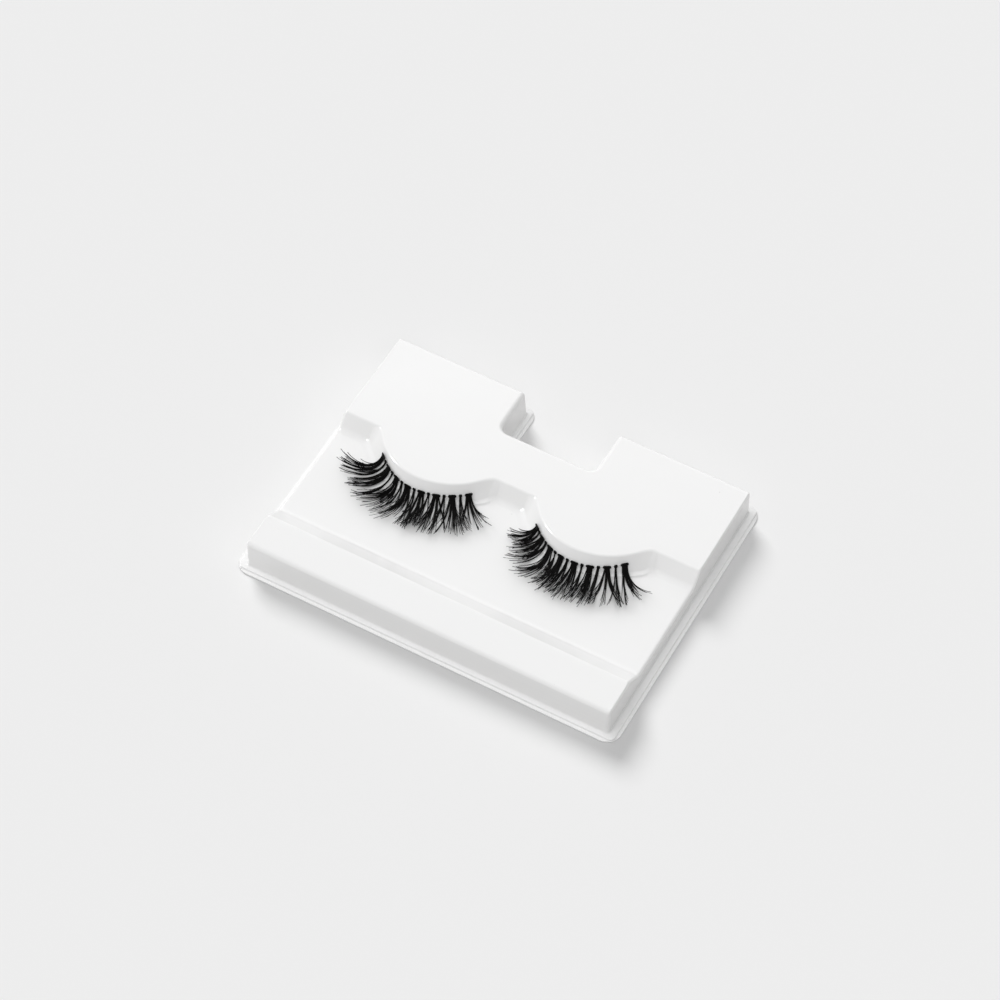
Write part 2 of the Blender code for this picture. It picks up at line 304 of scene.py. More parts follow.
bandFinish = {
    "tint": (0.93, 0.93, 0.92),
    "milky": (0.86, 0.86, 0.85),
    "rough": 0.22,
    "clear": 0.75,
    "ior": 1.35,
    "bump": 0.2,
    "bumpDepth": 0.03 * mm,
    "specks": {"Speck Spacing": 1500.0, "Speck Size": 0.2, "Speck Share": 0.3, "Mottling Scale": 400.0},
}


def makeBandMaterial():
    mat = bpy.data.materials.new("clear band")
    mat.use_nodes = True
    tree = mat.node_tree
    shader = tree.nodes["Principled BSDF"]
    specks = useGroup(tree, speckGroup, -5, 1, bandFinish["specks"])
    colour = blendColour(tree, specks.outputs["Mottling"], bandFinish["tint"], bandFinish["milky"], -3, 1)
    wire(tree, colour, shader.inputs["Base Color"])
    addBump(tree, shader, specks.outputs["Height"], bandFinish, -3, -2)
    shader.inputs["Roughness"].default_value = bandFinish["rough"]
    shader.inputs["Transmission Weight"].default_value = bandFinish["clear"]
    shader.inputs["IOR"].default_value = bandFinish["ior"]
    return mat


trayMaterial = makeTrayMaterial()
fibreMaterial = makeFibreMaterial()
bandMaterial = makeBandMaterial()
print("materials made")


# The tray: one formed sheet, with finer edges and fillets than the CAD solid

tray = {
    "width": 110.2 * mm,        # wall to wall at the foot
    "depth": 83.7 * mm,
    "height": 10.66 * mm,
    "sheet": 0.5 * mm,
    "sideDraft": 0.011,
    "backDraft": 0.06,
    "notchDraft": 0.075,
    "wallCorner": 0.9 * mm,
    "topRound": 1.25 * mm,
    "topRoundSide": 0.4 * mm,   # the long side walls turn over more tightly
    "footRound": 0.5 * mm,
    "ledgeHeight": 1.1 * mm,
    "ledgeSide": 2.0 * mm,
    "ledgeEnd": 1.4 * mm,
    "ledgeCorner": 1.2 * mm,
    "ledgeRound": 0.22 * mm,
    "flangeSide": 0.95 * mm,
    "flangeEnd": 0.95 * mm,
    "flangeCorner": 4.2 * mm,
    "flangeRound": 0.14 * mm,
    "notchWidth": 29.7 * mm,
    "notchDepth": 15.3 * mm,
    "notchCorner": 2.6 * mm,
    "floorHeight": 6.42 * mm,
    "pocketLine": 10.6 * mm,
    "lobeLine": 0.55 * mm,
    "lobeLow": 24.25 * mm,      # a lobe's lowest place from the middle between the two
    "lobeShift": -2.65 * mm,
    "lobeRadiusLeft": 17.6 * mm,
    "lobeRadiusRight": 21.6 * mm,
    "lobeFillet": 3.0 * mm,
    "filletGrowth": 1.4,        # for each unit of the wall's run, so that the corners soften downwards
    "lobeShare": 0.985,         # of a lobe's radius: further out its edge runs on straight
    "lobeSlope": 6,
    "wallLean": 0.84,
    "pocketLean": 0.84,
    "pocketFillet": 3.0 * mm,
    "shelfHeight": 0.55 * mm,
    "shelfWidth": 0.95 * mm,
    "shelfRun": 0.3 * mm,
    "shelfDip": 0.03 * mm,
    "shelfRounds": [0.45 * mm, 0.3 * mm, 0.35 * mm],
    "shelfFrom": -13.0,         # mm from a lobe's lowest place: the shelf comes out of the wall here
    "shelfFull": -5.0,
    "lobeFrom": 0.8,            # mm in front of the pockets' line: a pocket's wall turns into a lobe's
    "lobeFull": 2.4,
    "barLine": -30.6 * mm,
    "rampRun": 5.7 * mm,
    "rampFillet": 2.8 * mm,     # the ramp's foot flows softly into the floor
    "edgeRound": 1.5 * mm,
    "sideRound": 0.8 * mm,
    "sideShares": (0.12, 0.24, 0.36, 0.48, 0.6, 0.72, 0.85),    # of a quarter turn, out to the side
    "sideLeft": 0.15,           # the rest of that turn, in which the side runs on straight
    "sideRise": 0.4 * mm,
    "leastCorner": 0.2 * mm,
    "leastNotchCorner": 0.3 * mm,
    "cornerSteps": 9,
    "rimSteps": 3,
    "footSteps": 5,
    "wallSteps": 4,
    "topSteps": 8,
    "insideSteps": 4,
    "edgeSteps": 6,
    "shelfSteps": 4,
    "pocketSteps": 14,          # as many points as the lobe's wall has
    "rampSteps": 12,
    "columnStep": 0.55 * mm,
    "slopeSpan": 0.4 * mm,
    "slopeGain": 0.8,           # how much closer the columns stand where the front line is steep
    "steepest": 4.0,
    "fineReach": 66 * mm,
    "fineStep": 0.05 * mm,
    "topOver": 1.1 * mm,        # the cutter reaches this far past the edges it cuts
    "topRise": 0.03 * mm,
    "floorOver": 4.6 * mm,
    "rampOver": 4.5 * mm,
    "lidRise": 3 * mm,
    "openBelow": 2 * mm,
    "wallThin": 0.75,           # how far the sheet's thickness moves the wall and the ramp
    "rampThin": 0.5,
    "weld": 0.002 * mm,
    "sliver": 0.001 * mm,
    "sharpAngle": 38,
    "normalWeight": 60,
}
lobeCentres = (tray["lobeShift"] - tray["lobeLow"], tray["lobeShift"] + tray["lobeLow"])


def roundedOutline(corners, steps):
    # corners are square ones, as (x, y, radius), in order round the outline
    out = []
    count = len(corners)
    for i in range(count):
        p = np.array(corners[i][:2])
        before = np.array(corners[i - 1][:2]) - p
        after = np.array(corners[(i + 1) % count][:2]) - p
        before = before / np.linalg.norm(before)
        after = after / np.linalg.norm(after)
        r = corners[i][2]
        start = p + before * r
        end = p + after * r
        centre = start + after * r
        a0 = math.atan2(*(start - centre)[::-1])
        a1 = math.atan2(*(end - centre)[::-1])
        turn = (a1 - a0 + math.pi) % (2 * math.pi) - math.pi
        for k in range(steps + 1):
            a = a0 + turn * k / steps
            out.append((centre[0] + r * math.cos(a), centre[1] + r * math.sin(a)))
    return out


def trayOutline(row):
    # a row says how far each wall stands out from the tray's width and depth at its height z
    x = tray["width"] / 2 + row["side"]
    front = tray["depth"] / 2 + row["end"]
    back = tray["depth"] / 2 + row["back"]
    notchX = tray["notchWidth"] / 2 - row["notch"]
    topBack = tray["depth"] / 2 - tray["backDraft"] * (tray["height"] - tray["ledgeHeight"])
    notchY = topBack - tray["notchDepth"] + row["notch"]
    outer = max(row["corner"], tray["leastCorner"])
    lip = min(outer, tray["notchDepth"] / 4)
    inner = max(tray["notchCorner"] - row["notch"], tray["leastNotchCorner"])
    return roundedOutline([
        (-x, -front, outer), (x, -front, outer), (x, back, outer), (notchX, back, lip),
        (notchX, notchY, inner), (-notchX, notchY, inner), (-notchX, back, lip),
        (-x, back, outer),
    ], tray["cornerSteps"])


def wallRow(z, inset=0.0, sideInset=None):
    # the outline at height z of the walls, which lean inwards, less an inset
    rise = z - tray["ledgeHeight"]
    return {
        "z": z,
        "side": -tray["sideDraft"] * rise - (inset if sideInset is None else sideInset),
        "end": -tray["sideDraft"] * rise - inset,
        "back": -tray["backDraft"] * rise - inset,
        "notch": tray["notchDraft"] * (tray["height"] - z) - inset,
        "corner": max(tray["wallCorner"] - inset, tray["leastCorner"]),
    }


def rimRow(z, side, end, corner):
    # the outline of the ledge or the flange, which stand out past the walls' foot
    foot = tray["notchDraft"] * (tray["height"] - tray["ledgeHeight"])
    return {"z": z, "side": side, "end": end, "back": end, "notch": foot + end, "corner": corner}


def stackOutlines(name, rows):
    # a closed solid through the rows' outlines, from the lowest up
    rings = [[(x, y, row["z"]) for x, y in trayOutline(row)] for row in rows]
    n = len(rings[0])
    verts = [v for ring in rings for v in ring]
    faces = [list(range(n))[::-1]]
    for k in range(len(rings) - 1):
        for i in range(n):
            j = (i + 1) % n
            faces.append([k * n + i, k * n + j, (k + 1) * n + j, (k + 1) * n + i])
    faces.append([(len(rings) - 1) * n + i for i in range(n)])
    return meshPiece(name, verts, faces)


def quarter(steps):
    # the angles of a quarter turn
    return [k / steps * math.pi / 2 for k in range(steps + 1)]


def outsideRows():
    side = tray["ledgeSide"] + tray["flangeSide"]
    end = tray["ledgeEnd"] + tray["flangeEnd"]
    fr = tray["flangeRound"]
    lr = tray["ledgeRound"]
    foot = tray["footRound"]
    rows = []

    def rim(z, out, sideBase, endBase, corner):
        rows.append(rimRow(z, sideBase + out, endBase + out, max(corner + out, tray["leastCorner"])))

    rimTurn = quarter(tray["rimSteps"])
    for a in rimTurn:                                         # lower edge of the flange
        rim(fr * (1 - math.cos(a)), -fr * (1 - math.sin(a)), side, end, tray["flangeCorner"])
    for a in rimTurn:                                         # upper edge of the flange
        rim(tray["sheet"] - fr * (1 - math.sin(a)), -fr * (1 - math.cos(a)), side, end,
            tray["flangeCorner"])
    ls, le, lc = tray["ledgeSide"], tray["ledgeEnd"], tray["ledgeCorner"]
    for a in rimTurn:                                         # up to the ledge
        rim(tray["sheet"] + lr * (1 - math.cos(a)), lr * (1 - math.sin(a)), ls, le, lc)
    for a in rimTurn:                                         # the ledge's upper edge
        rim(tray["ledgeHeight"] - lr * (1 - math.sin(a)), -lr * (1 - math.cos(a)), ls, le, lc)
    for a in quarter(tray["footSteps"]):                      # up to the wall
        rows.append(wallRow(tray["ledgeHeight"] + foot * (1 - math.cos(a)), -foot * (1 - math.sin(a))))
    r = tray["topRound"]
    low = tray["ledgeHeight"] + foot
    high = tray["height"] - r
    for k in range(1, tray["wallSteps"]):
        rows.append(wallRow(low + (high - low) * k / tray["wallSteps"]))
    for a in quarter(tray["topSteps"]):
        row = wallRow(high, r * (1 - math.cos(a)), tray["topRoundSide"] * (1 - math.cos(a)))
        row["z"] += r * math.sin(a)
        rows.append(row)
    return rows


def insideRows():
    sheet = tray["sheet"]
    ledge = (tray["ledgeSide"] - sheet, tray["ledgeEnd"] - sheet, tray["ledgeCorner"] - sheet)
    rows = [
        rimRow(-tray["openBelow"], *ledge),
        rimRow(tray["ledgeHeight"] - sheet, *ledge),
        wallRow(tray["ledgeHeight"] - sheet, sheet),
    ]
    r = tray["topRound"] - sheet / 2
    for a in quarter(tray["insideSteps"]):
        row = wallRow(tray["height"] - sheet - r, sheet + r * (1 - math.cos(a)))
        row["z"] += r * math.sin(a)
        rows.append(row)
    return rows


def smoothMin(a, b, k):
    # the smaller of two values, with a soft change-over k wide
    h = max(k - abs(a - b), 0.0) / k
    return min(a, b) - h * h * k / 4


def smoothStep(value, low, high):
    share = min(max((value - low) / (high - low), 0.0), 1.0)
    return share * share * (3 - 2 * share)


def lobeEdge(x, low):
    # a lobe's edge, round with one radius each side of its lowest place
    d = x - low
    radius = tray["lobeRadiusLeft"] if d < 0 else tray["lobeRadiusRight"]
    reach = tray["lobeShare"] * radius
    if abs(d) > reach:
        rest = (abs(d) - reach) * tray["lobeSlope"]
        return tray["lobeLine"] + radius - math.sqrt(radius**2 - reach**2) + rest
    return tray["lobeLine"] + radius - math.sqrt(radius**2 - d**2)


def blockFront(x, run=0.0):
    # the block's front line, and softer corners for the wall's rows that run further out
    y = tray["pocketLine"]
    for low in lobeCentres:
        y = smoothMin(y, lobeEdge(x, low), tray["lobeFillet"] + tray["filletGrowth"] * max(run, 0.0))
    return y


def filletPath(points, radii, steps, most=0.48):
    # softly rounded inner corners, which take at most that share of a side; the same steps always
    # give the same count of points
    out = [points[0]]
    for i in range(1, len(points) - 1):
        p = np.array(points[i])
        before = np.array(points[i - 1]) - p
        after = np.array(points[i + 1]) - p
        lb = np.linalg.norm(before)
        la = np.linalg.norm(after)
        before = before / lb
        after = after / la
        bend = math.acos(max(-1.0, min(1.0, float(np.dot(before, after)))))
        cut = min(radii[i - 1] / math.tan(bend / 2), most * lb, most * la)
        start = p + before * cut
        end = p + after * cut
        for k in range(steps[i - 1] + 1):
            s = k / steps[i - 1]
            a = start + (p - start) * s
            b = p + (end - p) * s
            out.append(tuple(a + (b - a) * s))
    out.append(points[-1])
    return out


def wallPath(x, thicken):
    # outward run and height of the block's front wall, from its top to the floor
    fall = tray["height"] - tray["floorHeight"]
    top = tray["height"]
    base = tray["floorHeight"]
    depth = (tray["pocketLine"] - blockFront(x)) / mm
    share = smoothStep(depth, tray["lobeFrom"], tray["lobeFull"])
    side = min((x - low for low in lobeCentres), key=abs)
    share *= smoothStep(side / mm, tray["shelfFrom"], tray["shelfFull"])
    r = tray["edgeRound"]
    lean = tray["wallLean"]
    shelf = tray["shelfHeight"]
    knee = lean * (fall - shelf)
    start = (-tray["topOver"], top + tray["topRise"])
    lobePath = filletPath([
        start, (0.0, top), (knee, base + shelf),
        (knee + tray["shelfWidth"], base + shelf - tray["shelfDip"]),
        (knee + tray["shelfWidth"] + tray["shelfRun"], base), (knee + tray["floorOver"], base),
    ], [r] + tray["shelfRounds"], [tray["edgeSteps"]] + [tray["shelfSteps"]] * 3)
    knee = tray["pocketLean"] * fall
    pocketPath = filletPath([start, (0.0, top), (knee, base), (knee + tray["floorOver"], base)],
                            [r, tray["pocketFillet"]], [tray["edgeSteps"], tray["pocketSteps"]])
    mixed = [(a[0] * share + b[0] * (1 - share), a[1] * share + b[1] * (1 - share))
             for a, b in zip(lobePath, pocketPath)]
    return [(out - thicken * tray["wallThin"], z - thicken) for out, z in mixed]


def columnPlaces(half):
    # places across the tray, closer together where the block's front line is steep
    span = tray["slopeSpan"]
    xs = [-half]
    while xs[-1] < half:
        x = xs[-1]
        slope = abs(blockFront(x + span) - blockFront(x - span)) / (2 * span)
        xs.append(x + tray["columnStep"] / (1 + tray["slopeGain"] * min(slope, tray["steepest"])))
    xs[-1] = half
    return xs


def movedLine(xs, table, front, offsets, heights):
    # the front line moved outwards by offsets, with the heights that go with it: the outermost edge
    # of circles round its points; negative offsets move it back into the block
    slack = 1e-9
    far = 1.0
    ys, zs = [], []
    for x in xs:
        dx = table - x
        reach = np.abs(offsets)
        ok = np.abs(dx) <= reach + slack
        side = np.sqrt(np.maximum(reach**2 - dx**2, 0.0))
        if np.any(offsets < 0):
            value = np.where(ok, front + side, -far)
            best = int(np.argmax(value))
        else:
            value = np.where(ok, front - side, far)
            best = int(np.argmin(value))
        ys.append(float(value[best]))
        zs.append(float(heights[best]))
    return ys, zs


def makeValley(name, thicken):
    # the cutter of the pockets, the floor and the ramp; thicken moves it down by the sheet
    half = tray["width"] / 2 - tray["sideDraft"] * (tray["floorHeight"] - tray["ledgeHeight"])
    sr = tray["sideRound"]
    flat = half - sr
    side = []
    for share in tray["sideShares"]:
        a = share * math.pi / 2
        side.append((flat - thicken + sr * math.sin(a), sr * (1 - math.cos(a))))
    end = side[-1]
    rise = tray["sideRise"]
    side.append((end[0] + rise, end[1] + rise / math.tan(tray["sideLeft"] * math.pi / 2)))
    columns = [(-x, drop) for x, drop in side[::-1]]
    columns += [(x, 0.0) for x in columnPlaces(flat - thicken)]
    columns += side
    fine = np.arange(-tray["fineReach"], tray["fineReach"], tray["fineStep"])
    paths = np.array([wallPath(x, thicken) for x in fine])
    xs = [x for x, _ in columns]
    rows = []
    for k in range(paths.shape[1]):
        runs, heights = paths[:, k, 0], paths[:, k, 1]
        front = np.array([blockFront(x, run) for x, run in zip(fine, runs)])
        rows.append(movedLine(xs, fine, front, runs, heights))
    top = tray["height"]
    base = tray["floorHeight"]
    foot = tray["barLine"] + tray["rampRun"]
    ramp = filletPath([
        (foot + tray["rampOver"], base), (foot, base), (tray["barLine"], top),
        (tray["barLine"] - tray["topOver"], top + tray["topRise"]),
    ], [tray["rampFillet"], tray["edgeRound"]], [tray["rampSteps"], tray["edgeSteps"]])
    for y, z in ramp:
        rows.append(([y - thicken * tray["rampThin"]] * len(xs), [z - thicken] * len(xs)))
    n = len(xs)
    verts = [(xs[i], ys[i], zs[i] - columns[i][1]) for ys, zs in rows for i in range(n)]
    m = len(rows)
    faces = []
    for k in range(m - 1):
        for i in range(n - 1):
            a = k * n + i
            faces.append([a, a + n, a + n + 1])
            faces.append([a, a + n + 1, a + 1])
    ring = list(range(n)) + [k * n + n - 1 for k in range(1, m)]
    ring += [(m - 1) * n + i for i in range(n - 2, -1, -1)] + [k * n for k in range(m - 2, 0, -1)]
    lid = len(verts)
    for i in ring:
        verts.append((verts[i][0], verts[i][1], top + tray["lidRise"]))
    count = len(ring)
    for i in range(count):
        j = (i + 1) % count
        faces.append([ring[i], ring[j], lid + j])
        faces.append([ring[i], lid + j, lid + i])
    faces.append([lid + i for i in range(count)][::-1])
    return meshPiece(name, verts, faces)


def makeTray():
    body = stackOutlines("trayShell", outsideRows())
    hollow = stackOutlines("hollow", insideRows())
    cutAway(hollow, makeValley("valleyBack", tray["sheet"]))
    cutAway(body, makeValley("valley", 0.0))
    cutAway(body, hollow)
    bm = bmesh.new()
    bm.from_mesh(body.data)
    bmesh.ops.remove_doubles(bm, verts=bm.verts, dist=tray["weld"])
    bmesh.ops.dissolve_degenerate(bm, edges=bm.edges, dist=tray["sliver"])
    bm.to_mesh(body.data)
    bm.free()
    body.data.shade_smooth()
    body.data.set_sharp_from_angle(angle=math.radians(tray["sharpAngle"]))
    weighted = body.modifiers.new("weighted", "WEIGHTED_NORMAL")
    weighted.keep_sharp = True
    weighted.weight = tray["normalWeight"]
    bake(body)
    body.data.materials.clear()
    body.data.materials.append(trayMaterial)
    return body


trayShell = makeTray()
print("tray made:", len(trayShell.data.polygons), "faces")


# The lash strips: a clear band, flat root knots, and the hairs that leave them in locks

lash = {
    "bandGap": 0.58 * mm,           # middle of the band from the wall
    "bandWidth": 0.16 * mm,
    "bandPoints": 160,
    "bandEvery": 3,                 # of those points, one in three is used for the tube
    "searchBefore": 22 * mm,        # the part of the wall that the band may follow
    "searchAfter": 24 * mm,
    "headingShare": 0.02,           # of the band's length, each way, to find its heading
    "clusters": 15,                 # thick and thin ones in turn
    "thickRoot": 2.3 * mm,
    "thinRoot": 0.95 * mm,
    "knotHeight": 1.25 * mm,
    "knotDepth": 0.56 * mm,
    "knotRise": -0.06 * mm,
    "knotSteps": 12,
    "knotPower": 7,                 # the knots are full for most of their width, then round off
    "knotEnd": 0.2,
    "knotSeed": 100,                # added to the strip's own
    "bundle": 0.7,                  # width of the hairs under a knot, as a share of it
    "clearance": 0.35 * mm,         # the lowest part of a hair above the floor
    "fallRun": 1.25 * mm,           # how soon a hair has dropped down the wall
    "wave": 0.06 * mm,
    "waveTurn": 5.2,                # radians from root to tip
    "curlFrom": 0.3,                # share of the hair before its curl, and the rest
    "curlRest": 0.7,
    "curlPower": 1.7,
    "thickLocks": 8,
    "thinLocks": 3,
    "thinSpread": 0.6,              # how far the outer locks reach across a thin cluster
    "lockSpread": 0.85,
    "outerShort": 0.05,             # the outer locks are shorter by this share
    "lockHairs": (3, 6),            # at least the first, fewer than the second
    "hairRadius": 0.14 * mm,
    "splay": 0.34 * mm,             # how far a lock's hairs part at their tips
    "tipShare": 0.55,
    "taperPower": 3.2,
    "hairPoints": 18,
    "hairSides": 5,
}

# how far knots, locks and hairs stray: one number is a normal spread, a pair the least and the most
stray = {
    "knotWide": (0.94, 1.04),
    "knotFat": (0.92, 1.1),
    "lockLean": 4.5,                # degrees
    "lockTurn": 9,
    "lockReach": (0.94, 1.08),
    "lockCurl": (0.85, 1.15),
    "rootPlace": 0.08,              # of half the root
    "rootRise": (-0.2, 0.06),       # mm
    "longOnes": 0.85,               # share of the hairs, the rest are short ones
    "longPart": (0.82, 1.06),
    "shortPart": (0.5, 0.75),
    "hairLean": 1.0,                # degrees
    "hairTurn": 3.5,
    "hairRest": (0.0, 0.35),        # mm above the lowest place
    "hairLift": (0.85, 1.15),
    "hairGather": (0.5, 1.0),
    "hairSplay": 0.12,              # mm
    "hairThick": (0.6, 1.15),
}

# before and after are the strip's lengths from the lobe's lowest place, drop is how far its middle
# hangs below the top, and the rises are how far its two ends come up again. Crowding moves the middle
# clusters towards the left end. The hairs' rows, one for each thick knot from left to right: reach in
# mm; lean from square to the band and turn on the way to the tip in degrees; fan and bend, what lean
# and turn gain towards the knot's right end; curl in mm.
stripForm = {
    "Left": {
        "low": lobeCentres[0], "before": 12.1 * mm, "after": 15.9 * mm, "drop": 2.33 * mm,
        "riseBefore": 1.62 * mm, "riseAfter": 0.42 * mm, "crowding": 0.106, "seed": 11,
        "hairs": [
            {"knot": 0, "reach": 12.1, "lean": 18, "fan": 4, "turn": -66, "bend": 16, "curl": 3.0},
            {"knot": 2, "reach": 12.0, "lean": 16, "fan": 12, "turn": -42, "bend": -10, "curl": 2.3},
            {"knot": 4, "reach": 13.4, "lean": 28, "fan": 6, "turn": -50, "bend": 15, "curl": 2.3},
            {"knot": 6, "reach": 13.5, "lean": 26, "fan": 7, "turn": -40, "bend": 18, "curl": 2.1},
            {"knot": 8, "reach": 13.2, "lean": 11, "fan": 17, "turn": -18, "bend": -36, "curl": 1.9},
            {"knot": 10, "reach": 13.0, "lean": 2, "fan": 13, "turn": -9, "bend": -6, "curl": 1.7},
            {"knot": 12, "reach": 12.9, "lean": -4, "fan": 11, "turn": 2, "bend": 10, "curl": 1.9},
            {"knot": 14, "reach": 11.0, "lean": -5, "fan": 14, "turn": 13, "bend": 12, "curl": 2.0},
        ],
    },
    "Right": {
        "low": lobeCentres[1], "before": 12.7 * mm, "after": 15.2 * mm, "drop": 2.46 * mm,
        "riseBefore": 1.2 * mm, "riseAfter": 1.07 * mm, "crowding": 0.18, "seed": 23,
        "hairs": [
            {"knot": 0, "reach": 8.0, "lean": 8, "fan": 9, "turn": -8, "bend": 12, "curl": 2.1},
            {"knot": 2, "reach": 9.8, "lean": 16, "fan": 14, "turn": -18, "bend": -5, "curl": 2.0},
            {"knot": 4, "reach": 13.0, "lean": 36, "fan": 4, "turn": -54, "bend": 24, "curl": 2.2},
            {"knot": 6, "reach": 13.2, "lean": 17, "fan": 9, "turn": -22, "bend": 6, "curl": 2.0},
            {"knot": 8, "reach": 13.2, "lean": 6, "fan": 10, "turn": -10, "bend": -10, "curl": 2.0},
            {"knot": 10, "reach": 13.0, "lean": 1, "fan": 5, "turn": -18, "bend": 0, "curl": 2.0},
            {"knot": 12, "reach": 13.1, "lean": -6, "fan": 10, "turn": -4, "bend": 14, "curl": 2.0},
            {"knot": 14, "reach": 12.3, "lean": -10, "fan": 8, "turn": 16, "bend": 18, "curl": 2.0},
        ],
    },
}


def sampleRows(rows, knot, column):
    # a thin knot takes the mean of its two neighbours
    return float(np.interp(knot, [row["knot"] for row in rows], [row[column] for row in rows]))


def bandPath(form):
    # the band follows the lobe's wall a little out from it, with its ends higher than its middle
    low = form["low"]
    fine = np.arange(low - lash["searchBefore"], low + lash["searchAfter"], tray["fineStep"])
    front = np.array([blockFront(x) for x in fine])
    clear = lash["bandGap"] * math.sqrt(1 + tray["wallLean"]**2)
    points = []
    for share in np.linspace(-1, 1, lash["bandPoints"]):
        half = (form["before"] + form["after"]) / 2
        x = low + (form["after"] - form["before"]) / 2 + share * half
        rise = form["riseBefore"] if share < 0 else form["riseAfter"]
        z = tray["height"] - form["drop"] + rise * share * share
        run = tray["wallLean"] * (tray["height"] - z) + clear
        ys, _ = movedLine([x], fine, front, np.full(len(fine), run), front)
        points.append((x, ys[0], z))
    points = np.array(points)
    steps = np.linalg.norm(np.diff(points[:, :2], axis=0), axis=1)
    return points, np.concatenate([[0], np.cumsum(steps)])


def alongBand(points, length, share):
    # the place at a share of the band's length, and the band's heading there
    at = share * length[-1]
    step = lash["headingShare"] * length[-1]
    here = np.array([np.interp(at, length, points[:, i]) for i in range(3)])
    before = np.array([np.interp(at - step, length, points[:, i]) for i in range(2)])
    after = np.array([np.interp(at + step, length, points[:, i]) for i in range(2)])
    return here, math.atan2(after[1] - before[1], after[0] - before[0])


def hairRoots(form):
    # one point for each hair, with what its path needs
    rng = np.random.default_rng(form["seed"])
    points, length = bandPath(form)
    end = 0.5 * lash["thickRoot"] / length[-1]
    lowest = tray["floorHeight"] + lash["clearance"]
    hairs = []
    knots = []
    for c in range(lash["clusters"]):
        share = c / (lash["clusters"] - 1)
        share -= form["crowding"] * share * (1 - share)
        thin = c % 2 == 1
        (x, y, z), tangent = alongBand(points, length, end + share * (1 - 2 * end))
        wide = lash["thinRoot"] if thin else lash["thickRoot"]
        knots.append({"at": (x, y, z), "heading": tangent, "wide": wide * rng.uniform(*stray["knotWide"])})
        row = {key: sampleRows(form["hairs"], c, key) for key in form["hairs"][0]}
        locks = lash["thinLocks"] if thin else lash["thickLocks"]
        for k in range(locks):
            side = ((k + 0.5) / locks * 2 - 1) * (lash["thinSpread"] if thin else 1.0)
            lean = row["lean"] + row["fan"] * side + rng.normal(0, stray["lockLean"])
            turn = row["turn"] + row["bend"] * side + rng.normal(0, stray["lockTurn"])
            reach = row["reach"] * mm * (1 - lash["outerShort"] * abs(side))
            reach *= rng.uniform(*stray["lockReach"])
            curl = row["curl"] * mm * rng.uniform(*stray["lockCurl"])
            half = wide * lash["bundle"] / 2
            middle = side * half * lash["lockSpread"]
            count = int(rng.integers(*lash["lockHairs"]))
            for h in range(count):
                spread = (h + 0.5) / count * 2 - 1
                off = middle + spread * half / locks + rng.normal(0, half * stray["rootPlace"])
                off = max(min(off, half), -half)
                kind = "longPart" if rng.random() < stray["longOnes"] else "shortPart"
                part = rng.uniform(*stray[kind])
                hairs.append({
                    "at": (x + math.cos(tangent) * off, y + math.sin(tangent) * off,
                           z + rng.uniform(*stray["rootRise"]) * mm),
                    "heading": tangent - math.pi / 2
                    + math.radians(lean + rng.normal(0, stray["hairLean"])),
                    "turn": math.radians(turn + rng.normal(0, stray["hairTurn"])),
                    "reach": reach * part,
                    "sink": z - lowest - rng.uniform(*stray["hairRest"]) * mm,
                    "lift": curl * part * rng.uniform(*stray["hairLift"]),
                    "gather": (middle - off) * rng.uniform(*stray["hairGather"]),
                    "splay": (spread * lash["splay"] + rng.normal(0, stray["hairSplay"]) * mm) * part,
                    "thick": lash["hairRadius"] * rng.uniform(*stray["hairThick"]),
                })
    return hairs, knots, points


def pointCloud(name, hairs):
    # the root points, with the hairs' values as attributes of the same names
    mesh = bpy.data.meshes.new(name)
    mesh.from_pydata([h["at"] for h in hairs], [], [])
    for key in hairs[0]:
        if key == "at":
            continue
        attribute = mesh.attributes.new(key, "FLOAT", "POINT")
        attribute.data.foreach_set("value", [float(h[key]) for h in hairs])
    piece = bpy.data.objects.new(name, mesh)
    bpy.context.scene.collection.objects.link(piece)
    return piece


